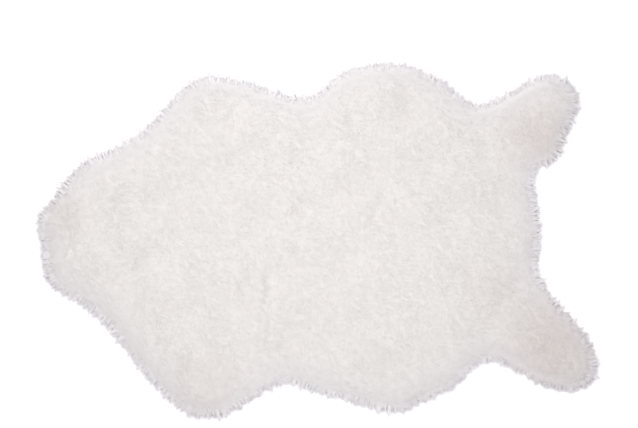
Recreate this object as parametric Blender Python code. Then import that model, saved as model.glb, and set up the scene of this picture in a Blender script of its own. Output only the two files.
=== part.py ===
"""A hide rug: one pelt with its fleece on, lying flat with the fleece up.

Metres, +Z up. The neck points to -X and the hind legs to +X. The origin lies on the floor, under the middle of the
rug's box. The pelt is one lumpy slab with pointed locks of fleece all round its rim.
"""

import math

import bmesh
import bpy
import numpy as np
from mathutils import Matrix, Vector
from mathutils.geometry import delaunay_2d_cdt

# The fleece's edge, seen from above, clockwise from the neck.
OUTLINE = (
    # place, x, y
    ("neck tip", -0.476, 0.035),
    ("neck top corner", -0.457, 0.062),
    ("neck slope", -0.403, 0.129),
    ("cheek", -0.318, 0.172),
    ("shoulder rise", -0.247, 0.241),
    ("left shoulder start", -0.205, 0.275),
    ("left shoulder top", -0.152, 0.278),
    ("left shoulder end", -0.069, 0.255),
    ("top valley", -0.012, 0.246),
    ("top lobe rise", 0.027, 0.277),
    ("top lobe start", 0.078, 0.299),
    ("top lobe end", 0.161, 0.297),
    ("top lobe fall", 0.229, 0.260),
    ("leg valley", 0.273, 0.234),
    ("upper leg inner", 0.337, 0.260),
    ("upper leg tip", 0.398, 0.283),
    ("upper leg corner", 0.445, 0.245),
    ("upper leg back", 0.427, 0.182),
    ("upper leg heel", 0.403, 0.131),
    ("leg pit top", 0.376, 0.118),
    ("rump top", 0.373, 0.074),
    ("rump", 0.381, 0.006),
    ("leg pit low", 0.379, -0.052),
    ("lower leg rise", 0.423, -0.121),
    ("lower leg out", 0.469, -0.181),
    ("lower leg tip", 0.469, -0.240),
    ("lower leg inner", 0.417, -0.258),
    ("lower leg root", 0.354, -0.235),
    ("low valley", 0.288, -0.209),
    ("low lobe end", 0.232, -0.252),
    ("low lobe fall", 0.183, -0.275),
    ("low lobe", 0.137, -0.294),
    ("low lobe start", 0.056, -0.277),
    ("low lobe rise", -0.008, -0.258),
    ("bottom valley", -0.052, -0.245),
    ("low shoulder end", -0.110, -0.274),
    ("low shoulder", -0.168, -0.302),
    ("low shoulder corner", -0.227, -0.292),
    ("low slope end", -0.300, -0.223),
    ("low slope", -0.371, -0.135),
    ("low cheek", -0.435, -0.091),
    ("neck low corner", -0.462, -0.064),
    ("neck front", -0.469, -0.015),
)
SAMPLES_PER_SPAN = 24

# The rim's section, from the sole up. Inset is measured inwards from the outline.
RIM = (
    # row, inset, height
    ("sole", 0.0100, 0.0000),
    ("low roots", 0.0065, 0.0035),
    ("middle", 0.0055, 0.0105),
    ("rim top", 0.0075, 0.0175),
)
LOW_ROOTS = 1
HIGH_ROOTS = 2
PILE_HEIGHT = 0.032
SHOULDER_WIDTH = 0.070

# Soft waves in the fleece's surface: each row is a set of waves in turned directions.
LUMPS = (
    # wavelength, height, number of waves
    (0.130, 0.0010, 4),
    (0.075, 0.0009, 5),
    (0.042, 0.0006, 5),
)
# Where the fleece is brushed into a ridge or pressed into a trough, below zero, along a line.
BRUSHED = (
    # place, x, y, length, width, turn in degrees, height
    ("middle dimple", -0.040, 0.060, 0.044, 0.016, 50.0, -0.0040),
    ("ridge by the dimple", -0.020, 0.038, 0.050, 0.018, 60.0, 0.0025),
    ("low trough", -0.094, -0.100, 0.080, 0.014, 88.0, -0.0030),
    ("ridge by the trough", -0.078, -0.102, 0.080, 0.016, 92.0, 0.0025),
    ("shoulder ridge", -0.136, 0.196, 0.050, 0.022, 80.0, 0.0025),
    ("neck ridge", -0.418, -0.025, 0.050, 0.016, 45.0, 0.0025),
    ("cheek ridge", -0.285, -0.040, 0.090, 0.020, 40.0, 0.0025),
    ("low lobe ridge", 0.132, -0.102, 0.075, 0.014, 2.0, 0.0022),
    ("rump ridge", 0.092, 0.122, 0.070, 0.018, 95.0, 0.0022),
)

# The top's inner points, and how far they keep from the rim.
GRID = 0.0145
GRID_CLEARANCE = 0.0085
SAME_POINT = 1e-6
INSIDE_ONLY = 1

# The locks alternate between the two rows of roots all round the rim, and lean in sets.
LOCKS = 290
LOCK_REACH = (0.0065, 0.0130)
LOCK_WAIST = 0.62
LOCK_BEND = 0.5
LOCK_LEAN = 9.0
LOCK_LEAN_SETS = 23
LOCK_SCATTER = 6.0
HIGH_LOCK_DROP = 0.0060
TIP_SCATTER = 0.0015
SEED = 11

IVORY = (0.80, 0.77, 0.74, 1.0)
FLEECE_ROUGHNESS = 0.95


def clear_scene():
    for old in list(bpy.data.objects):
        bpy.data.objects.remove(old)


def smooth_loop(knots):
    """A closed cubic through the knots, with no step in its bend.

    Each knot's slope comes from the equations that carry the second derivative on through it, on a parameter that
    grows with the square root of the distance between knots.
    """
    after = np.roll(knots, -1, axis=0)
    span = np.sqrt(np.linalg.norm(after - knots, axis=1))
    last_span = np.roll(span, 1)
    rise = (after - knots) / span[:, None] ** 2
    row = np.arange(len(knots))
    system = np.zeros((len(knots), len(knots)))
    system[row, row] = 2 / last_span + 2 / span
    system[row, row - 1] = 1 / last_span
    system[row, (row + 1) % len(knots)] = 1 / span
    slope = np.linalg.solve(system, 3 * (rise + np.roll(rise, 1, axis=0)))

    start = knots[:, None]
    end = after[:, None]
    leave = (slope * span[:, None])[:, None]
    arrive = (np.roll(slope, -1, axis=0) * span[:, None])[:, None]
    u = np.linspace(0, 1, SAMPLES_PER_SPAN, endpoint=False)[None, :, None]
    curve = (
        (2 * u**3 - 3 * u**2 + 1) * start
        + (u**3 - 2 * u**2 + u) * leave
        + (3 * u**2 - 2 * u**3) * end
        + (u**3 - u**2) * arrive
    )
    return curve.reshape(-1, 2)


def evenly(loop, count):
    """The closed loop cut into count equal steps, with the outward direction at each point."""
    closed = np.vstack([loop, loop[:1]])
    step = np.linalg.norm(np.diff(closed, axis=0), axis=1)
    walked = np.concatenate([[0.0], np.cumsum(step)])
    at = np.linspace(0, walked[-1], count, endpoint=False)
    points = np.column_stack([np.interp(at, walked, closed[:, axis]) for axis in (0, 1)])
    along = np.roll(points, -1, axis=0) - np.roll(points, 1, axis=0)
    along /= np.linalg.norm(along, axis=1)[:, None]
    outward = np.column_stack([-along[:, 1], along[:, 0]])
    return points, outward


def depth_inside(points, loop):
    """How far each point lies inside the closed loop: the distance to its nearest edge, below zero outside."""
    start = loop[None]
    edge = np.roll(loop, -1, axis=0)[None] - start
    from_start = points[:, None] - start
    along = np.clip((from_start * edge).sum(2) / (edge**2).sum(2), 0, 1)
    distance = np.linalg.norm(from_start - along[..., None] * edge, axis=2).min(axis=1)
    end_y = start[..., 1] + edge[..., 1]
    crosses = (start[..., 1] > points[:, None, 1]) != (end_y > points[:, None, 1])
    rise = np.where(edge[..., 1] == 0, 1.0, edge[..., 1])
    cut_x = start[..., 0] + (points[:, None, 1] - start[..., 1]) * edge[..., 0] / rise
    crossings = (crosses & (cut_x > points[:, None, 0])).sum(axis=1)
    return np.where(crossings % 2 == 1, distance, -distance)


def lumps(x, y):
    """The sum of the seeded cosine waves and of the brushed ridges, each a soft bell along its own line."""
    rng = np.random.default_rng(SEED)
    total = np.zeros_like(x)
    for wavelength, height, waves in LUMPS:
        for _ in range(waves):
            turn = rng.uniform(0, math.pi)
            phase = rng.uniform(0, 2 * math.pi)
            across = x * math.cos(turn) + y * math.sin(turn)
            total += height * np.cos(2 * math.pi * across / wavelength + phase)
    for _, ridge_x, ridge_y, length, width, degrees, height in BRUSHED:
        turn = math.radians(degrees)
        along = (x - ridge_x) * math.cos(turn) + (y - ridge_y) * math.sin(turn)
        aside = (y - ridge_y) * math.cos(turn) - (x - ridge_x) * math.sin(turn)
        total += height * np.exp(-((2 * along / length) ** 2) - (2 * aside / width) ** 2)
    return total


def fleece_height(points, edge):
    """A quarter ellipse from the rim's top up to the full pile, with the lumps fading in over it."""
    rim_height = RIM[-1][2]
    depth = np.clip(depth_inside(points, edge) / SHOULDER_WIDTH, 0, 1)
    rise = np.sqrt(1 - (1 - depth) ** 2)
    return rim_height + (PILE_HEIGHT - rim_height) * rise + lumps(points[:, 0], points[:, 1]) * rise


def inner_grid(edge):
    """Points in rows, each row shifted by half a step, wherever they clear the rim."""
    low = edge.min(axis=0)
    high = edge.max(axis=0)
    row_step = GRID * math.sqrt(3) / 2
    xs = np.arange(low[0], high[0], GRID)
    ys = np.arange(low[1], high[1], row_step)
    grid_x, grid_y = np.meshgrid(xs, ys)
    grid_x[1::2] += GRID / 2
    points = np.column_stack([grid_x.ravel(), grid_y.ravel()])
    return points[depth_inside(points, edge) > GRID_CLEARANCE]


def add_rim(mesh, points, outward):
    """The sole and the rim's wall, with the wall's root faces: each one's column, row and outward direction.

    The roots alternate from column to column between the low and the high row.
    """
    rings = []
    for _, inset, height in RIM:
        ring = points - inset * outward
        rings.append([mesh.verts.new((x, y, height)) for x, y in ring])
    mesh.faces.new(rings[0])
    roots = []
    for row, (lower, upper) in enumerate(zip(rings, rings[1:])):
        for column in range(LOCKS):
            after = (column + 1) % LOCKS
            face = mesh.faces.new((lower[column], lower[after], upper[after], upper[column]))
            if row in (LOW_ROOTS, HIGH_ROOTS) and column % 2 == row % 2:
                heading = Vector((*(outward[column] + outward[after]), 0.0)).normalized()
                roots.append((column, row, face, heading))
    return rings[-1], roots


def add_top(mesh, rim, edge):
    """The fleece's surface, in triangles between the rim and the inner points."""
    inner = inner_grid(edge)
    flat = [Vector(point) for point in np.vstack([edge, inner])]
    rim_face = list(range(len(edge)))
    _, _, triangles, sources, _, _ = delaunay_2d_cdt(flat, [], [rim_face], INSIDE_ONLY, SAME_POINT)
    heights = fleece_height(inner, edge)
    verts = rim + [mesh.verts.new((x, y, z)) for (x, y), z in zip(inner, heights)]
    for triangle in triangles:
        mesh.faces.new([verts[sources[corner][0]] for corner in triangle])


def add_lock(mesh, root, heading, reach, tip_height):
    """One four-sided lock: the root face drawn out to a narrower waist, then to a point."""
    waist = bmesh.ops.extrude_discrete_faces(mesh, faces=[root])["faces"][0]
    middle = waist.calc_center_median()
    tip_at = middle + heading * reach
    tip_at.z = tip_height
    waist_at = middle.lerp(tip_at, LOCK_BEND)
    waist_at.z = middle.z + (tip_height - middle.z) * LOCK_BEND**2
    for corner in waist.verts:
        corner.co = waist_at + (corner.co - middle) * LOCK_WAIST
    tip = bmesh.ops.poke(mesh, faces=[waist])["verts"][0]
    tip.co = tip_at


def add_locks(mesh, roots):
    """Low locks come down to rest on the floor, and high locks end above them."""
    rng = np.random.default_rng(SEED)
    for column, row, root, heading in roots:
        around = 2 * math.pi * column / LOCKS
        lean = LOCK_LEAN * math.sin(LOCK_LEAN_SETS * around) + rng.uniform(-LOCK_SCATTER, LOCK_SCATTER)
        heading.rotate(Matrix.Rotation(math.radians(lean), 3, "Z"))
        reach = rng.uniform(*LOCK_REACH)
        lift = rng.uniform(-TIP_SCATTER, TIP_SCATTER)
        high_tip = root.calc_center_median().z - HIGH_LOCK_DROP + lift
        add_lock(mesh, root, heading, reach, high_tip if row == HIGH_ROOTS else 0.0)


def fleece_material():
    material = bpy.data.materials.new("ivory fleece")
    material.use_nodes = True
    shader = material.node_tree.nodes["Principled BSDF"]
    shader.inputs["Base Color"].default_value = IVORY
    shader.inputs["Roughness"].default_value = FLEECE_ROUGHNESS
    shader.inputs["Metallic"].default_value = 0.0
    return material


def build_pelt():
    loop = smooth_loop(np.array([(x, y) for _, x, y in OUTLINE]))
    points, outward = evenly(loop, LOCKS)
    mesh = bmesh.new()
    rim, roots = add_rim(mesh, points, outward)
    add_top(mesh, rim, points - RIM[-1][1] * outward)
    add_locks(mesh, roots)
    bmesh.ops.recalc_face_normals(mesh, faces=mesh.faces)
    data = bpy.data.meshes.new("pelt")
    mesh.to_mesh(data)
    mesh.free()
    data.materials.append(fleece_material())
    pelt = bpy.data.objects.new("pelt", data)
    bpy.context.scene.collection.objects.link(pelt)


clear_scene()
build_pelt()
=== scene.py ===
"""The looks of the hide rug: its skin sheet, the body of the fleece, and the wisps of pile on it."""

import math

import bpy
import numpy as np
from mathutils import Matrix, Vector


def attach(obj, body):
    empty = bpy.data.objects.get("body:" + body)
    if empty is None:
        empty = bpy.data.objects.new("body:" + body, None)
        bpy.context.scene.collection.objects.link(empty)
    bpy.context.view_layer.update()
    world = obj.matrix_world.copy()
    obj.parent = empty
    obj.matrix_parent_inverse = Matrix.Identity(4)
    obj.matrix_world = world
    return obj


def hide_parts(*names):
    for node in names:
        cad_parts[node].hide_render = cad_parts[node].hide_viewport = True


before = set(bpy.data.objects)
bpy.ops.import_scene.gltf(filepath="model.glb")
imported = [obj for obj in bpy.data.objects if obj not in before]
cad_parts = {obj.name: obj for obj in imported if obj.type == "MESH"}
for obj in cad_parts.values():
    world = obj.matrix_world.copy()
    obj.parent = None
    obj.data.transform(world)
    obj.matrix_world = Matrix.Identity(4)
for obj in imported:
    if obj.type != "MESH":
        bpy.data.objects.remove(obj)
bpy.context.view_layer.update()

# The fleece's edge, seen from above, clockwise from the neck. It is the solid's own outline.
OUTLINE = (
    # place, x, y
    ("neck tip", -0.476, 0.035),
    ("neck top corner", -0.457, 0.062),
    ("neck slope", -0.403, 0.129),
    ("cheek", -0.318, 0.172),
    ("shoulder rise", -0.247, 0.241),
    ("left shoulder start", -0.205, 0.275),
    ("left shoulder top", -0.152, 0.278),
    ("left shoulder end", -0.069, 0.255),
    ("top valley", -0.012, 0.246),
    ("top lobe rise", 0.027, 0.277),
    ("top lobe start", 0.078, 0.299),
    ("top lobe end", 0.161, 0.297),
    ("top lobe fall", 0.229, 0.260),
    ("leg valley", 0.273, 0.234),
    ("upper leg inner", 0.337, 0.260),
    ("upper leg tip", 0.398, 0.283),
    ("upper leg corner", 0.445, 0.245),
    ("upper leg back", 0.427, 0.182),
    ("upper leg heel", 0.403, 0.131),
    ("leg pit top", 0.376, 0.118),
    ("rump top", 0.373, 0.074),
    ("rump", 0.381, 0.006),
    ("leg pit low", 0.379, -0.052),
    ("lower leg rise", 0.423, -0.121),
    ("lower leg out", 0.469, -0.181),
    ("lower leg tip", 0.469, -0.240),
    ("lower leg inner", 0.417, -0.258),
    ("lower leg root", 0.354, -0.235),
    ("low valley", 0.288, -0.209),
    ("low lobe end", 0.232, -0.252),
    ("low lobe fall", 0.183, -0.275),
    ("low lobe", 0.137, -0.294),
    ("low lobe start", 0.056, -0.277),
    ("low lobe rise", -0.008, -0.258),
    ("bottom valley", -0.052, -0.245),
    ("low shoulder end", -0.110, -0.274),
    ("low shoulder", -0.168, -0.302),
    ("low shoulder corner", -0.227, -0.292),
    ("low slope end", -0.300, -0.223),
    ("low slope", -0.371, -0.135),
    ("low cheek", -0.435, -0.091),
    ("neck low corner", -0.462, -0.064),
    ("neck front", -0.469, -0.015),
)
SAMPLES_PER_SPAN = 12

RIM_TOP_INSET = 0.0075
RIM_TOP = 0.0175
PILE_HEIGHT = 0.032
SHOULDER_WIDTH = 0.070
LUMPS = (
    # wavelength, height, number of waves
    (0.130, 0.0010, 4),
    (0.075, 0.0009, 5),
    (0.042, 0.0006, 5),
)
BRUSHED = (
    # place, x, y, length, width, turn in degrees, height
    ("middle dimple", -0.040, 0.060, 0.044, 0.016, 50.0, -0.0040),
    ("ridge by the dimple", -0.020, 0.038, 0.050, 0.018, 60.0, 0.0025),
    ("low trough", -0.094, -0.100, 0.080, 0.014, 88.0, -0.0030),
    ("ridge by the trough", -0.078, -0.102, 0.080, 0.016, 92.0, 0.0025),
    ("shoulder ridge", -0.136, 0.196, 0.050, 0.022, 80.0, 0.0025),
    ("neck ridge", -0.418, -0.025, 0.050, 0.016, 45.0, 0.0025),
    ("cheek ridge", -0.285, -0.040, 0.090, 0.020, 40.0, 0.0025),
    ("low lobe ridge", 0.132, -0.102, 0.075, 0.014, 2.0, 0.0022),
    ("rump ridge", 0.092, 0.122, 0.070, 0.018, 95.0, 0.0022),
)
LUMP_SEED = 11
LUMP_SHARE = 0.35
RIM_SLOPE = 0.36
RIM_SLOPE_FADE = 0.040

# The photograph's frame, in its pixels, and how the rug lies in it.
FRAME_WIDTH = 638
FRAME_HEIGHT = 428
RUG_MIDDLE_X = 317.0
RUG_MIDDLE_Y = 240.0
METRES_PER_PIXEL = 0.95 / 561

SKIN_INSET = 0.0160
SKIN_THICKNESS = 0.0018

BODY_SHARE = 0.965
BODY_EDGE = (
    # row, inset, height
    ("shoulder", 0.0120, 0.0205),
    ("brow", 0.0085, 0.0165),
    ("side", 0.0065, 0.0115),
    ("low side", 0.0065, 0.0070),
    ("foot", 0.0085, 0.0038),
    ("bottom", 0.0120, 0.0022),
)
BODY_SINK = 0.0012
EDGE_DROP = 0.0075
EDGE_DROP_LIMIT = 1.6
# The painted cool shade at the rim fades inwards over this distance.
EDGE_PAINTED_SHADE_FADE = 0.022
# Painted light and shade over the brushed relief: ridges painted lighter, the dimple and troughs darker.
RELIEF_PAINTED_LIGHT_AND_SHADE = 16.0
WISP_SHADE = 0.005
# Painted light on the tips near the outline, where the rim's pile is in shadow, and a bell of painted shade
# where the fleece rolls over.
RIM_PAINTED_LIGHT = 0.34
RIM_PAINTED_LIGHT_FADE = 0.0110
ROLL_PAINTED_SHADE = 0.075
ROLL_DEPTH = 0.023
ROLL_WIDTH = 0.013


def smooth_loop(knots):
    """A closed cubic through the knots, with no step in its bend.

    Each knot's slope comes from the equations that carry the second derivative on through it, on a
    parameter that grows with the square root of the distance between knots.
    """
    after = np.roll(knots, -1, axis=0)
    span = np.sqrt(np.linalg.norm(after - knots, axis=1))
    last_span = np.roll(span, 1)
    rise = (after - knots) / span[:, None] ** 2
    row = np.arange(len(knots))
    system = np.zeros((len(knots), len(knots)))
    system[row, row] = 2 / last_span + 2 / span
    system[row, row - 1] = 1 / last_span
    system[row, (row + 1) % len(knots)] = 1 / span
    slope = np.linalg.solve(system, 3 * (rise + np.roll(rise, 1, axis=0)))

    start = knots[:, None]
    end = after[:, None]
    leave = (slope * span[:, None])[:, None]
    arrive = (np.roll(slope, -1, axis=0) * span[:, None])[:, None]
    u = np.linspace(0, 1, SAMPLES_PER_SPAN, endpoint=False)[None, :, None]
    curve = (
        (2 * u**3 - 3 * u**2 + 1) * start
        + (u**3 - 2 * u**2 + u) * leave
        + (3 * u**2 - 2 * u**3) * end
        + (u**3 - u**2) * arrive
    )
    return curve.reshape(-1, 2)


def evenly(loop, count, shift=0.0):
    """The closed loop cut into count equal steps, with the outward direction at each point."""
    closed = np.vstack([loop, loop[:1]])
    step = np.linalg.norm(np.diff(closed, axis=0), axis=1)
    walked = np.concatenate([[0.0], np.cumsum(step)])
    at = (np.arange(count) + shift) / count * walked[-1]
    points = np.column_stack([np.interp(at, walked, closed[:, axis]) for axis in (0, 1)])
    along = np.roll(points, -1, axis=0) - np.roll(points, 1, axis=0)
    along /= np.linalg.norm(along, axis=1)[:, None]
    outward = np.column_stack([-along[:, 1], along[:, 0]])
    return points, outward


LOOP = smooth_loop(np.array([(x, y) for _, x, y in OUTLINE]))
CHUNK = 4000


def rim_from(points):
    """For each point, how far inside the outline it lies and the direction to the outline's nearest point.

    The distance is the shortest one to any of the outline's short edges, a few thousand points at a time.
    A point is inside where a ray towards +X crosses the outline an odd number of times.
    """
    start = LOOP[None]
    edge = np.roll(LOOP, -1, axis=0)[None] - start
    length2 = (edge**2).sum(2)
    end_y = start[..., 1] + edge[..., 1]
    rise = np.where(edge[..., 1] == 0, 1.0, edge[..., 1])
    depths = []
    ways = []
    for first in range(0, len(points), CHUNK):
        part = points[first : first + CHUNK, None]
        from_start = part - start
        along = np.clip((from_start * edge).sum(2) / length2, 0, 1)
        to_edge = along[..., None] * edge - from_start
        distance = np.linalg.norm(to_edge, axis=2)
        nearest = distance.argmin(axis=1)[:, None]
        closest = np.take_along_axis(distance, nearest, axis=1)[:, 0]
        way = np.take_along_axis(to_edge, nearest[..., None], axis=1)[:, 0]
        crosses = (start[..., 1] > part[..., 1]) != (end_y > part[..., 1])
        cut_x = start[..., 0] + (part[..., 1] - start[..., 1]) * edge[..., 0] / rise
        inside = (crosses & (cut_x > part[..., 0])).sum(axis=1) % 2 == 1
        sign = np.where(inside, 1.0, -1.0)
        depths.append(sign * closest)
        ways.append(way * (sign / np.maximum(closest, 1e-9))[:, None])
    return np.concatenate(depths), np.concatenate(ways)


def brushed(x, y):
    """The sum of the brushed ridges and troughs, each a soft bell along its own line."""
    total = np.zeros_like(x)
    for _, ridge_x, ridge_y, length, width, degrees, height in BRUSHED:
        turn = math.radians(degrees)
        along = (x - ridge_x) * math.cos(turn) + (y - ridge_y) * math.sin(turn)
        aside = (y - ridge_y) * math.cos(turn) - (x - ridge_x) * math.sin(turn)
        total += height * np.exp(-((2 * along / length) ** 2) - (2 * aside / width) ** 2)
    return total


def lumps(x, y):
    """The sum of the seeded cosine waves, at a share of the solid's, and of what has been brushed."""
    rng = np.random.default_rng(LUMP_SEED)
    total = brushed(x, y)
    for wavelength, height, number in LUMPS:
        for _ in range(number):
            turn = rng.uniform(0, math.pi)
            phase = rng.uniform(0, 2 * math.pi)
            across = x * math.cos(turn) + y * math.sin(turn)
            total += LUMP_SHARE * height * np.cos(2 * math.pi * across / wavelength + phase)
    return total


def fleece_height(points, depth):
    """A quarter ellipse from the rim's top up to the full pile, with the lumps fading in over it."""
    share = np.clip((depth - RIM_TOP_INSET) / SHOULDER_WIDTH, 0, 1)
    rise = np.sqrt(1 - (1 - share) ** 2)
    return RIM_TOP + (PILE_HEIGHT - RIM_TOP) * rise + lumps(points[:, 0], points[:, 1]) * rise


def body_height(points, depth):
    """The height of the fleece's body: a share of the fleece's, and over the edge that of its edge rows."""
    edge = np.array([row[1:] for row in BODY_EDGE[2::-1]])
    return np.where(
        depth > edge[-1, 0],
        BODY_SHARE * fleece_height(points, depth),
        np.interp(depth, edge[:, 0], edge[:, 1]),
    )


def over_edge(points, depth):
    """The fleece's height where its tips lie: as on the solid, then curving down past the rim's top."""
    share = np.clip(1 - depth / RIM_TOP_INSET, 0, EDGE_DROP_LIMIT)
    return fleece_height(points, depth) - EDGE_DROP * share**2


def facing(points, depth, way):
    """The fleece's outward normal.

    It is the upward direction, tipped outwards by a slope that fades inwards from the rim, and tipped by the
    lumps' own slope, which is their rise over one millimetre.
    """
    slope = RIM_SLOPE * np.exp(-np.maximum(depth, 0) / RIM_SLOPE_FADE)
    rise = np.clip(depth / SHOULDER_WIDTH, 0, 1)
    x, y = points.T
    step = 0.0005
    lump_x = (lumps(x + step, y) - lumps(x - step, y)) / (2 * step)
    lump_y = (lumps(x, y + step) - lumps(x, y - step)) / (2 * step)
    flat = way * slope[:, None] - np.column_stack([lump_x, lump_y]) * rise[:, None]
    normal = np.column_stack([flat, np.ones(len(points))])
    return normal / np.linalg.norm(normal, axis=1)[:, None]


def put_mesh(name, points, triangles, material):
    """A mesh object at the origin from arrays of points and triangles, smooth shaded."""
    data = bpy.data.meshes.new(name)
    data.vertices.add(len(points))
    data.vertices.foreach_set("co", np.ascontiguousarray(points, np.float32).ravel())
    data.loops.add(triangles.size)
    data.loops.foreach_set("vertex_index", np.ascontiguousarray(triangles, np.int32).ravel())
    data.polygons.add(len(triangles))
    data.polygons.foreach_set("loop_start", np.arange(0, triangles.size, 3, dtype=np.int32))
    data.polygons.foreach_set("use_smooth", np.ones(len(triangles), bool))
    data.update(calc_edges=True)
    data.validate()
    data.materials.append(material)
    piece = bpy.data.objects.new(name, data)
    bpy.context.scene.collection.objects.link(piece)
    return piece


def mark(piece, name, values):
    """A number at each point of the piece, for its material."""
    attribute = piece.data.attributes.new(name, "FLOAT", "POINT")
    attribute.data.foreach_set("value", np.ascontiguousarray(values, np.float32).ravel())


def painted_cool_shade_share(depth):
    """The share of the rim's painted cool shade: 1 at the outline, fading inwards."""
    return np.exp(-np.maximum(depth, 0) / EDGE_PAINTED_SHADE_FADE)


def rim_painted_light_and_shade(depth):
    """Painted light on the tips by the outline, against their shadow, less a bell of painted shade where the
    fleece rolls.
    """
    thin = RIM_PAINTED_LIGHT * np.exp(-np.maximum(depth, 0) / RIM_PAINTED_LIGHT_FADE)
    return thin - ROLL_PAINTED_SHADE * np.exp(-(((depth - ROLL_DEPTH) / ROLL_WIDTH) ** 2))


def lathe_faces(columns, rows):
    """Triangles of a closed skin of rings between two poles.

    The points are the first pole, then each row's ring of as many points as there are columns, then the last
    pole. Fans join the poles to the end rings, and two triangles fill each square between rings.
    """
    column = np.arange(columns)
    after = (column + 1) % columns
    first = 1 + column
    fan_in = np.column_stack([np.zeros(columns, int), 1 + after, first])
    lower = (np.arange(rows - 1)[:, None] * columns + 1 + column).ravel()
    lower_after = (np.arange(rows - 1)[:, None] * columns + 1 + after).ravel()
    sides_a = np.column_stack([lower, lower_after, lower_after + columns])
    sides_b = np.column_stack([lower, lower_after + columns, lower + columns])
    last = 1 + (rows - 1) * columns
    fan_out = np.column_stack([last + column, last + after, np.full(columns, last + columns)])
    return np.concatenate([fan_in, sides_a, sides_b, fan_out])


def rings_to_points(top_pole, rings, low_pole):
    """The points in the order that lathe_faces counts them."""
    return np.vstack([[top_pole], np.vstack(rings), [low_pole]])


class Wire:
    """A socket that takes part in sums: each operator adds its Math node to the material."""

    def __init__(self, graph, socket):
        self.graph = graph
        self.socket = socket

    def __add__(self, other):
        return self.graph.maths("ADD", self, other)

    def __sub__(self, other):
        return self.graph.maths("SUBTRACT", self, other)

    def __rsub__(self, other):
        return self.graph.maths("SUBTRACT", other, self)

    def __mul__(self, other):
        return self.graph.maths("MULTIPLY", self, other)

    def __truediv__(self, other):
        return self.graph.maths("DIVIDE", self, other)

    __radd__ = __add__
    __rmul__ = __mul__


class Graph:
    """A material's node tree, with its Principled shader."""

    def __init__(self, name):
        self.material = bpy.data.materials.new(name)
        self.material.use_nodes = True
        self.nodes = self.material.node_tree.nodes
        self.links = self.material.node_tree.links
        self.shader = self.nodes["Principled BSDF"]

    def feed(self, socket, value):
        if isinstance(value, Wire):
            self.links.new(value.socket, socket)
        else:
            socket.default_value = value

    def node(self, kind, settings=None, values=None, output=0):
        """A node of this kind: its settings first, then the values or links of its sockets."""
        made = self.nodes.new(kind)
        for name, value in (settings or {}).items():
            setattr(made, name, value)
        for name, value in (values or {}).items():
            self.feed(made.inputs[name], value)
        return Wire(self, made.outputs[output])

    def maths(self, operation, first, second=0.0, clamp=False):
        settings = {"operation": operation, "use_clamp": clamp}
        return self.node("ShaderNodeMath", settings, {0: first, 1: second})

    def clamped(self, value):
        return self.maths("ADD", value, 0.0, clamp=True)

    def mix(self, factor, first, second, blend="MIX"):
        settings = {"data_type": "RGBA", "blend_type": blend}
        return self.node("ShaderNodeMix", settings, {0: factor, 6: first, 7: second}, output=2)

    def attribute(self, name):
        return self.node("ShaderNodeAttribute", {"attribute_name": name}, output=2)

    def place(self):
        """The Object coordinates, in metres."""
        return self.node("ShaderNodeTexCoord", output=3)

    def noise(self, vector, scale, detail=2.0, roughness=0.5):
        values = {"Vector": vector, "Scale": scale, "Detail": detail, "Roughness": roughness}
        return self.node("ShaderNodeTexNoise", None, values)

    def set(self, name, value):
        self.feed(self.shader.inputs[name], value)


# Where the fleece is warmer and a little darker, as on the legs, seen from above.
WARM_PATCHES = (
    # place, x, y, radius, strength
    ("lower leg", 0.395, -0.175, 0.120, 0.75),
    ("rump patch", 0.300, -0.086, 0.060, 0.45),
    ("upper leg", 0.372, 0.175, 0.085, 0.60),
    ("neck", -0.430, 0.040, 0.060, 0.40),
    ("low shoulder", -0.185, -0.255, 0.080, 0.35),
)
MOTTLE = (
    # patches, scale, strength
    ("broad", 16.0, 0.03),
    ("fine", 70.0, 0.01),
)
TIP_IVORY = (0.772, 0.752, 0.729, 1.0)
ROOT_IVORY = (0.757, 0.737, 0.714, 1.0)
WARM_TINT = (0.860, 0.800, 0.785, 1.0)
# Painted cool shade for the rim: the lilac of the sky's fill on slopes turned from the softboxes.
EDGE_PAINTED_COOL_SHADE = (0.970, 0.968, 1.040, 1.0)
SKIN_CREAM = (0.62, 0.56, 0.49, 1.0)
SKIN_BROWN = (0.50, 0.43, 0.36, 1.0)


def warm_mask(graph, place):
    """The strongest of the patches: each falls off smoothly from its middle to its radius."""
    settings = {"operation": "MULTIPLY"}
    flat = graph.node("ShaderNodeVectorMath", settings, {0: place, 1: (1.0, 1.0, 0.0)})
    mask = None
    for _, x, y, radius, strength in WARM_PATCHES:
        settings = {"operation": "DISTANCE"}
        away = graph.node("ShaderNodeVectorMath", settings, {0: flat, 1: (x, y, 0.0)}, output=1)
        near = graph.clamped(1.0 - away / radius)
        bell = near * near * (3.0 - 2.0 * near) * strength
        mask = bell if mask is None else graph.maths("MAXIMUM", mask, bell)
    return mask


def fleece_colour(graph, place, along):
    """Ivory, lighter from root to tip and mottled, warmer over the legs, with painted cool shade at the rim.
    """
    ivory = graph.mix(along, ROOT_IVORY, TIP_IVORY)
    mottle = 1.0
    for _, scale, strength in MOTTLE:
        mottle = mottle + (graph.noise(place, scale) - 0.5) * strength
    # The shade attribute adds a random tone per wisp, and painted light and shade at the rim and over the
    # relief.
    mottle = mottle + graph.attribute("shade")
    shade = graph.node("ShaderNodeCombineXYZ", None, {0: mottle, 1: mottle, 2: mottle})
    mottled = graph.mix(1.0, ivory, shade, "MULTIPLY")
    warmer = graph.mix(1.0, mottled, WARM_TINT, "MULTIPLY")
    warmed = graph.mix(warm_mask(graph, place), mottled, warmer)
    painted_cool_shade = graph.mix(1.0, warmed, EDGE_PAINTED_COOL_SHADE, "MULTIPLY")
    return graph.mix(graph.attribute("edge"), warmed, painted_cool_shade)


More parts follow.
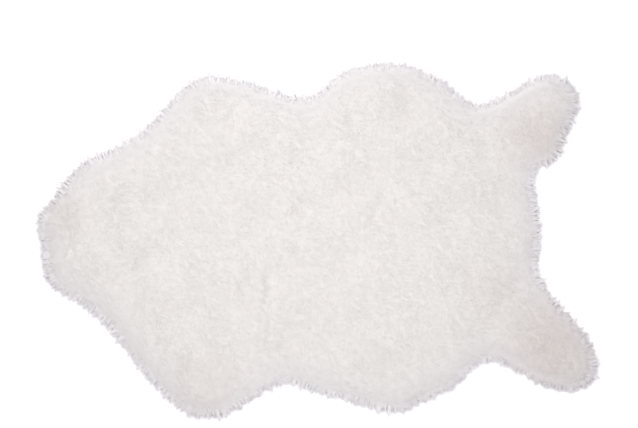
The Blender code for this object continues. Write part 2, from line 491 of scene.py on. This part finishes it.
def pile_material():
    """The wisps' material: the fleece's colour from root to tip, matt, with a little sheen."""
    graph = Graph("ivory fleece pile")
    place = graph.place()
    graph.set("Base Color", fleece_colour(graph, place, graph.attribute("along")))
    graph.set("Roughness", 0.82 + graph.noise(place, 300.0) * 0.16)
    graph.set("Sheen Weight", 0.35)
    graph.set("Sheen Roughness", 0.6)
    graph.set("Specular IOR Level", 0.15)
    return graph.material


def body_material():
    """The matted fleece under the wisps: the same colour, with fibres as colour and as a fine bump."""
    graph = Graph("ivory fleece body")
    place = graph.place()
    fibres = graph.noise(place, 900.0, detail=3.0)
    graph.set("Base Color", fleece_colour(graph, place, fibres * 0.8))
    graph.set("Roughness", 0.95)
    graph.set("Specular IOR Level", 0.15)
    bump = graph.node("ShaderNodeBump", None, {"Height": fibres, "Distance": 0.002, "Strength": 0.6})
    graph.set("Normal", bump)
    return graph.material


def skin_material():
    """The skin's suede side: cloudy cream and brown with a fine nap, under the rug."""
    graph = Graph("suede skin")
    place = graph.place()
    cloudy = graph.noise(place, 9.0, detail=4.0)
    nap = graph.noise(place, 1100.0, detail=3.0, roughness=0.6)
    graph.set("Base Color", graph.mix(graph.clamped(cloudy * 0.8 + nap * 0.2), SKIN_BROWN, SKIN_CREAM))
    graph.set("Roughness", 0.80 + nap * 0.18)
    bump = graph.node("ShaderNodeBump", None, {"Height": nap, "Distance": 0.0006, "Strength": 0.5})
    graph.set("Normal", bump)
    return graph.material


def floor_material():
    """A pale floor that glows a little, so that it is as white as the photograph's background."""
    graph = Graph("studio floor")
    graph.set("Base Color", (0.93, 0.93, 0.94, 1.0))
    graph.set("Emission Color", (1.0, 1.0, 1.0, 1.0))
    graph.set("Emission Strength", 0.38)
    graph.set("Roughness", 0.9)
    graph.set("Specular IOR Level", 0.1)
    return graph.material


CAMERA_HEIGHT = 3.2


def make_camera():
    """Straight above the rug, with a long lens that gives the photograph's own middle and scale."""
    middle_x = (FRAME_WIDTH / 2 - RUG_MIDDLE_X) * METRES_PER_PIXEL
    middle_y = (RUG_MIDDLE_Y - FRAME_HEIGHT / 2) * METRES_PER_PIXEL
    lens = bpy.data.cameras.new("camera")
    lens.sensor_width = 36.0
    lens.lens = lens.sensor_width * (CAMERA_HEIGHT - RIM_TOP / 2) / (FRAME_WIDTH * METRES_PER_PIXEL)
    camera = bpy.data.objects.new("camera", lens)
    camera.location = (middle_x, middle_y, CAMERA_HEIGHT)
    bpy.context.scene.collection.objects.link(camera)
    bpy.context.scene.camera = camera


def add_softbox(name, place, aim, size, power, colour):
    """A round area light of this size in metres and power in watts, turned from its place to its aim."""
    light = bpy.data.lights.new(name, "AREA")
    light.shape = "DISK"
    light.size = size
    light.energy = power
    light.color = colour
    box = bpy.data.objects.new(name, light)
    box.location = place
    box.rotation_euler = (Vector(aim) - Vector(place)).to_track_quat("-Z", "Y").to_euler()
    bpy.context.scene.collection.objects.link(box)


FLOOR_REACH = 8.0
FLOOR_HEIGHT = -0.0003
SOFTBOXES = (
    # name, place, aim, size, power, colour
    ("overhead softbox", (-0.04, 0.00, 1.25), (-0.03, 0.00, 0.0), 0.80, 9.2, (1.0, 0.992, 0.962)),
    ("side softbox", (-0.25, 1.50, 1.25), (0.0, 0.00, 0.0), 1.20, 9.5, (1.0, 0.99, 0.96)),
)


def make_studio():
    """A pale floor, a softbox overhead and one from the top of the picture, and a cool sky that fills."""
    corners = [(-1, -1), (1, -1), (1, 1), (-1, 1)]
    points = np.array([(x * FLOOR_REACH, y * FLOOR_REACH, FLOOR_HEIGHT) for x, y in corners])
    floor = put_mesh("floor", points, np.array([(0, 1, 2), (0, 2, 3)]), floor_material())
    for softbox in SOFTBOXES:
        add_softbox(*softbox)
    world = bpy.data.worlds.new("studio sky")
    world.use_nodes = True
    sky = world.node_tree.nodes["Background"]
    sky.inputs["Color"].default_value = (0.92, 0.90, 0.95, 1.0)
    sky.inputs["Strength"].default_value = 0.64
    bpy.context.scene.world = world
    bpy.context.scene.view_settings.view_transform = "Standard"


SKIN_COLUMNS = 360
SKIN_RINGS = 12
BODY_COLUMNS = 480
BODY_RINGS = 34


def make_skin():
    """The skin: the cut outline's rings shrunk towards its middle, on both faces, with a thin closed edge.

    It comes with the cut's size along each axis and its area, which is half the sum of the cross products of
    each point with the next.
    """
    points, outward = evenly(LOOP, SKIN_COLUMNS)
    cut = points - SKIN_INSET * outward
    shares = np.linspace(0.08, 1.0, SKIN_RINGS)
    top = [np.column_stack([cut * share, np.full(SKIN_COLUMNS, SKIN_THICKNESS)]) for share in shares]
    low = [np.column_stack([cut * share, np.zeros(SKIN_COLUMNS)]) for share in shares[::-1]]
    rings = top + low
    skin = put_mesh(
        "skin",
        rings_to_points((0.0, 0.0, SKIN_THICKNESS), rings, (0.0, 0.0, 0.0)),
        lathe_faces(SKIN_COLUMNS, len(rings)),
        skin_material(),
    )
    after = np.roll(cut, -1, axis=0)
    area = abs((cut[:, 0] * after[:, 1] - after[:, 0] * cut[:, 1]).sum()) / 2
    return skin, np.ptp(cut, axis=0), area


def make_body():
    """The matted lower part of the fleece: a share of the fleece's own height, down over a rounded edge."""
    rim, outward = evenly(LOOP, BODY_COLUMNS)
    edge = rim - BODY_EDGE[0][1] * outward
    rings = []
    for share in np.linspace(0.03, 1.0, BODY_RINGS)[:-1]:
        ring = edge * share
        rings.append(np.column_stack([ring, BODY_SHARE * fleece_height(ring, rim_from(ring)[0])]))
    for _, inset, height in BODY_EDGE:
        rings.append(np.column_stack([rim - inset * outward, np.full(BODY_COLUMNS, height)]))
    bottom = rings[-1]
    for share in (0.7, 0.35):
        rings.append(bottom * (share, share, 1.0))
    middle = np.zeros((1, 2))
    top_z = BODY_SHARE * fleece_height(middle, rim_from(middle)[0])[0]
    points = rings_to_points((0.0, 0.0, top_z), rings, (0.0, 0.0, bottom[0, 2]))
    faces = lathe_faces(BODY_COLUMNS, len(rings))
    body = put_mesh("fleece_body", points, faces, body_material())
    depth, _ = rim_from(points[:, :2])
    # Painted cool shade at the rim, and painted light and shade near the rim and over the brushed relief.
    mark(body, "edge", painted_cool_shade_share(depth))
    mark(body, "shade", RELIEF_PAINTED_LIGHT_AND_SHADE * brushed(points[:, 0], points[:, 1]) + rim_painted_light_and_shade(depth))
    return body


WISP_RADIUS = 0.0008
WISP_RADIUS_SPREAD = (0.75, 1.25)
WISP_FLATNESS = 0.35
WISP_CORNERS = (90, 210, 330)
WISP_ROLL = 0.25
WISP_TAPER = 0.75
OWN_NORMAL = 0.08

# In each wisp's cell of the bake map, as shares of the cell.
CELL_GAP = 0.02
CELL_FOOT = 0.06
CELL_RISE = 0.9


def grow(name, own, wisps, levels, rng, material):
    """Wisps of pile: closed three-sided spikes, each along a quadratic curve from root by bend to tip.

    At each level the side points lie on a small flattened triangle across the curve, with one corner up. Its
    size falls to nothing at the tip. The wisps are shaded mostly with the fleece's own normal, as a mass of
    fine hair is. Each wisp has a cell of its own in the bake map.
    """
    columns = ("roots", "bends", "tips", "radii", "shades", "depths", "normals")
    roots, bends, tips, radii, shades, depths, normals = (wisps[column][own] for column in columns)
    count = len(roots)
    t = np.array(levels)[None, :, None]
    root, bend, tip = (part[:, None] for part in (roots, bends, tips))
    line = (1 - t) ** 2 * root + 2 * t * (1 - t) * bend + t**2 * tip
    along = 2 * (1 - t) * (bend - root) + 2 * t * (tip - bend)
    along /= np.linalg.norm(along, axis=2, keepdims=True)
    roll = rng.normal(0, WISP_ROLL, (count, 3))
    sideways = np.cross(normals + roll, tips - roots)[:, None]
    sideways = sideways / np.linalg.norm(sideways, axis=2, keepdims=True)
    upward = np.cross(along, sideways)
    upward /= np.linalg.norm(upward, axis=2, keepdims=True)
    radius = radii[:, None, None] * (1 - t) ** WISP_TAPER
    sides = []
    spokes = []
    for degrees in WISP_CORNERS:
        angle = math.radians(degrees)
        spoke = math.cos(angle) * sideways + WISP_FLATNESS * math.sin(angle) * upward
        sides.append(line + radius * spoke)
        spokes.append(spoke)
    rings = np.stack(sides, axis=2).reshape(count, -1, 3)
    points = np.concatenate([rings, tips[:, None]], axis=1)
    ring_normals = np.stack(spokes, axis=2).reshape(count, -1, 3) * OWN_NORMAL + normals[:, None]
    shading = np.concatenate([ring_normals, normals[:, None]], axis=1)
    shading /= np.linalg.norm(shading, axis=2, keepdims=True)

    per_wisp = 3 * len(levels) + 1
    faces = [(0, 2, 1)]
    map_places = [((0.02, 0.01), (0.08, 0.01), (0.05, 0.04))]
    heights = list(levels) + [1.0]
    for level in range(len(levels)):
        for side in range(3):
            low = 3 * level + side
            low_after = 3 * level + (side + 1) % 3
            left = side / 3 + CELL_GAP
            right = (side + 1) / 3 - CELL_GAP
            v_low = CELL_FOOT + CELL_RISE * heights[level]
            v_high = CELL_FOOT + CELL_RISE * heights[level + 1]
            if level + 1 < len(levels):
                faces.append((low, low_after, low_after + 3))
                map_places.append(((left, v_low), (right, v_low), (right, v_high)))
                faces.append((low, low_after + 3, low + 3))
                map_places.append(((left, v_low), (right, v_high), (left, v_high)))
            else:
                faces.append((low, low_after, per_wisp - 1))
                map_places.append(((left, v_low), (right, v_low), ((left + right) / 2, v_high)))
    triangles = np.arange(count)[:, None, None] * per_wisp + np.array(faces)[None]
    piece = put_mesh(name, points.reshape(-1, 3), triangles.reshape(-1, 3), material)
    piece.data.normals_split_custom_set_from_vertices(shading.reshape(-1, 3).astype(np.float32))

    cells = math.ceil(math.sqrt(count))
    cell = np.arange(count)
    corner = np.column_stack([cell % cells, cell // cells])[:, None, None]
    places = (corner + np.array(map_places)[None]) / cells
    bake_map = piece.data.uv_layers.new(name="OFBake")
    bake_map.data.foreach_set("uv", places.astype(np.float32).ravel())

    heights_up = np.array(np.repeat(heights[:-1], 3).tolist() + [1.0])[None]
    mark(piece, "along", np.repeat(heights_up, count, axis=0))
    point_depths = depths[:, :1] * (1 - heights_up) + depths[:, 1:] * heights_up
    # Painted light and shade near the rim, and painted cool shade at the rim.
    mark(piece, "shade", shades[:, None] + rim_painted_light_and_shade(point_depths))
    mark(piece, "edge", painted_cool_shade_share(point_depths))
    return piece


CLUMP_PITCH = 0.0094
CLUMP_JITTER = 0.3
CLUMP_SPREAD = 0.62
WISPS_PER_CLUMP = 11
CROWN_INSET = 0.0105
CROWN_LEVELS = (0.0, 0.55)
ROOT_SCATTER = 0.0007
TIP_SCATTER = 0.0012
TIP_DROP = 0.0009
TIP_DROP_SPREAD = (1.6, 3.0)
LOWEST_TIP = 0.0010
BEND_SHARE = 0.42
BEND_LIFT = (0.0002, 0.0010)
LIE_DRIFT = (0.0060, -0.0055)
LIE_WAVES = (
    # height, wavelength, seed
    (0.0040, 0.110, 5),
    (0.0012, 0.035, 6),
)
LIE_REACH = (0.75, 1.15)
STRAY = 0.0004

# What changes near the rim, where the pile lies outwards.
RIM_LIE = 0.0130
RIM_LIE_INSET = 0.0155
RIM_LIE_FADE = 0.016
RIM_STRAY = 0.0012
RIM_DRIFT_LOST = 0.7
RIM_CONVERGE = 0.30


def crown_clumps(rng):
    """Clump centres: a grid of shifted rows, jittered, wherever it lies far enough inside the outline."""
    low = LOOP.min(axis=0)
    high = LOOP.max(axis=0)
    xs = np.arange(low[0], high[0], CLUMP_PITCH)
    ys = np.arange(low[1], high[1], CLUMP_PITCH * math.sqrt(3) / 2)
    grid_x, grid_y = np.meshgrid(xs, ys)
    grid_x[1::2] += CLUMP_PITCH / 2
    centres = np.column_stack([grid_x.ravel(), grid_y.ravel()])
    centres += rng.uniform(-CLUMP_JITTER, CLUMP_JITTER, centres.shape) * CLUMP_PITCH
    depth, way = rim_from(centres)
    keep = depth > CROWN_INSET
    return centres[keep], depth[keep], way[keep]


def sunflower(count):
    """Offsets spread evenly over a disc of radius 1: each turns by the golden angle as its radius grows."""
    index = np.arange(count)
    radius = np.sqrt((index + 0.5) / count)
    turn = index * math.pi * (3 - math.sqrt(5))
    return np.column_stack([radius * np.cos(turn), radius * np.sin(turn)])


def waves(points, wavelength, seed, count=6):
    """A smooth field in two directions, about -1 to 1: a seeded sum of cosine waves of about one length."""
    rng = np.random.default_rng(seed)
    field = np.zeros((len(points), 2))
    for _ in range(count):
        turn = rng.uniform(0, 2 * math.pi)
        phase = rng.uniform(0, 2 * math.pi, 2)
        length = wavelength * rng.uniform(0.7, 1.5)
        across = points[:, 0] * math.cos(turn) + points[:, 1] * math.sin(turn)
        field += np.cos(2 * math.pi * across[:, None] / length + phase)
    return field / math.sqrt(count / 2) / 2


def make_crown(material):
    """The pile over the top, in bands from the neck to the legs, each band one piece."""
    rng = np.random.default_rng(3)
    centres, depth, way = crown_clumps(rng)
    near_rim = np.exp(-np.maximum(depth - RIM_LIE_INSET, 0) / RIM_LIE_FADE)[:, None]
    drift = np.array(LIE_DRIFT)
    for height, wavelength, seed in LIE_WAVES:
        drift = drift + height * waves(centres, wavelength, seed)
    stray = rng.normal(0, 1.0, centres.shape) * (STRAY + RIM_STRAY * near_rim)
    lie = drift * (1 - RIM_DRIFT_LOST * near_rim) + way * RIM_LIE * near_rim + stray

    shape = (len(centres), WISPS_PER_CLUMP)
    discs = sunflower(WISPS_PER_CLUMP)[None] * CLUMP_PITCH * CLUMP_SPREAD
    discs = discs + rng.normal(0, ROOT_SCATTER, (*shape, 2))
    converge = RIM_CONVERGE * near_rim
    reach = rng.uniform(*LIE_REACH, (*shape, 1))
    roots = (centres[:, None] + discs).reshape(-1, 2)
    ends = centres[:, None] + lie[:, None] * reach + discs * (1 - converge[:, None])
    ends = ends.reshape(-1, 2) + rng.normal(0, TIP_SCATTER, (len(roots), 2))
    root_depth, root_way = rim_from(roots)
    end_depth, _ = rim_from(ends)
    root_z = body_height(roots, root_depth) - BODY_SINK
    end_z = over_edge(ends, end_depth) - rng.beta(*TIP_DROP_SPREAD, len(roots)) * TIP_DROP
    end_z = np.maximum(end_z, LOWEST_TIP)

    root = np.column_stack([roots, root_z])
    tip = np.column_stack([ends, end_z])
    bend = root * (1 - BEND_SHARE) + tip * BEND_SHARE
    bend[:, 2] = np.maximum(root_z, end_z) + rng.uniform(*BEND_LIFT, len(roots))
    radii = WISP_RADIUS * rng.uniform(*WISP_RADIUS_SPREAD, len(roots))
    speckle = rng.uniform(-WISP_SHADE, WISP_SHADE, len(roots))
    wisps = {
        "roots": root,
        "bends": bend,
        "tips": tip,
        "radii": radii,
        # Painted light and shade over the brushed relief, with a random tone per wisp.
        "shades": RELIEF_PAINTED_LIGHT_AND_SHADE * brushed(ends[:, 0], ends[:, 1]) + speckle,
        "depths": np.column_stack([root_depth, end_depth]),
        "normals": facing(roots, root_depth, root_way),
    }
    bands = (
        # name, starts at x, ends at x
        ("pile_neck", -1.000, -0.215),
        ("pile_shoulders", -0.215, -0.060),
        ("pile_back", -0.060, 0.085),
        ("pile_loin", 0.085, 0.240),
        ("pile_legs", 0.240, 1.000),
    )
    pieces = []
    owner = np.repeat(centres[:, 0], WISPS_PER_CLUMP)
    for name, start, end in bands:
        own = (owner >= start) & (owner < end)
        pieces.append(grow(name, own, wisps, CROWN_LEVELS, rng, material))
    return pieces


TUFTS = 600
TUFT_LEAST_STEP = 0.35
TUFT_STEP_SPREAD = (1.6, 0.4)
TUFT_SIZE_LIMITS = (0.4, 1.6)
TUFT_REACH = (-0.0005, 0.0070)
TUFT_LEAN = 0.0026
TUFT_PULL = 0.85
TUFT_POINT = 0.45
TUFT_LEVELS = (0.0, 0.4, 0.75)
RIM_STEPS = 6000
RIM_WISPS = 22000
RIM_CROWDING = 1.15
RIM_SCATTER = 0.0006
RIM_REACH_LOST = 0.0075
RIM_REACH_SPREAD = (1.3, 2.6)
RIM_FOOT_LOST = 0.0040
RIM_ROOT_SCATTER = (-0.0010, 0.0025)
RIM_TIP_SCATTER = 0.0012
RIM_LOWEST_TIP = 0.0006
RIM_BEND_SHARE = 0.55
RIM_BEND_LIFT = 0.0020
FILLERS = 0.40
FILLER_SCATTER = 0.0016
FILLER_REACH = (-0.0065, -0.0005)
RIM_PROFILE = (
    # row, share down the side, root inset, root height, tip height, upward share of the normal
    ("crest", 0.00, 0.0210, 0.0235, 0.0140, 0.97),
    ("shoulder", 0.25, 0.0140, 0.0205, 0.0120, 0.96),
    ("brow", 0.50, 0.0105, 0.0165, 0.0090, 0.95),
    ("side", 0.75, 0.0085, 0.0105, 0.0055, 0.93),
    ("foot", 1.00, 0.0085, 0.0035, 0.0006, 0.90),
)


def make_tufts(material):
    """The pile that hangs over the rim, drawn together into pointed tufts that reach past the outline."""
    rng = np.random.default_rng(8)
    steps = TUFT_LEAST_STEP + rng.gamma(*TUFT_STEP_SPREAD, TUFTS)
    tuft_at = np.cumsum(steps) / steps.sum()
    size = np.clip(steps / steps.mean(), *TUFT_SIZE_LIMITS)
    reach = TUFT_REACH[0] + (TUFT_REACH[1] - TUFT_REACH[0]) * rng.uniform(0.3, 1.0, TUFTS) * size
    lean = rng.normal(0, TUFT_LEAN, TUFTS)

    ring, ring_out = evenly(LOOP, RIM_STEPS)
    perimeter = np.linalg.norm(np.diff(np.vstack([ring, ring[:1]]), axis=0), axis=1).sum()
    at = (np.arange(RIM_WISPS) + rng.uniform(0, 1, RIM_WISPS)) / RIM_WISPS
    down = rng.uniform(0, 1, RIM_WISPS) ** RIM_CROWDING
    tuft = np.searchsorted(tuft_at, at) % TUFTS
    middles = (tuft_at + np.roll(tuft_at, 1)) / 2
    middles[0] = tuft_at[0] / 2
    off = (middles[tuft] - at) * perimeter
    drawn = rng.uniform(0, 1, RIM_WISPS) > FILLERS
    leaning = lean[tuft] * rng.uniform(0.5, 1.0, RIM_WISPS)
    aside = off * TUFT_PULL + leaning + rng.normal(0, RIM_SCATTER, RIM_WISPS)
    lost = rng.beta(*RIM_REACH_SPREAD, RIM_WISPS) * RIM_REACH_LOST
    out = reach[tuft] - np.abs(off) * TUFT_POINT - lost
    aside = np.where(drawn, aside, rng.normal(0, FILLER_SCATTER, RIM_WISPS))
    out = np.where(drawn, out, rng.uniform(*FILLER_REACH, RIM_WISPS)) - RIM_FOOT_LOST * down

    rows = np.array([row[1:] for row in RIM_PROFILE])
    inset, root_z, tip_z, upward = (np.interp(down, rows[:, 0], row) for row in rows.T[1:])
    inset = inset + rng.uniform(*RIM_ROOT_SCATTER, RIM_WISPS)
    tip_z = np.maximum(tip_z + rng.normal(0, RIM_TIP_SCATTER, RIM_WISPS), RIM_LOWEST_TIP)

    start = (at * RIM_STEPS).astype(int) % RIM_STEPS
    foot = ring[start]
    outward = ring_out[start]
    side = np.column_stack([outward[:, 1], -outward[:, 0]])
    root = np.column_stack([foot - inset[:, None] * outward, root_z])
    tip = np.column_stack([foot + out[:, None] * outward + aside[:, None] * side, tip_z])
    bend = root * (1 - RIM_BEND_SHARE) + tip * RIM_BEND_SHARE
    bend[:, 2] = np.maximum(root_z, tip_z) + RIM_BEND_LIFT
    wisps = {
        "roots": root,
        "bends": bend,
        "tips": tip,
        "radii": WISP_RADIUS * rng.uniform(*WISP_RADIUS_SPREAD, RIM_WISPS),
        "shades": rng.uniform(-WISP_SHADE, WISP_SHADE, RIM_WISPS),
        "depths": np.column_stack([inset, -out]),
        "normals": np.column_stack([outward * np.sqrt(1 - upward**2)[:, None], upward]),
    }
    pieces = []
    for name, own in (("tufts_high_side", foot[:, 1] >= 0), ("tufts_low_side", foot[:, 1] < 0)):
        pieces.append(grow(name, own, wisps, TUFT_LEVELS, rng, material))
    return pieces


make_camera()
make_studio()
skin, cut_size, cut_area = make_skin()
body = make_body()
pile = pile_material()
pieces = [body, *make_crown(pile), *make_tufts(pile)]
for piece in [skin, *pieces]:
    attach(piece, "root")
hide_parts("pelt")
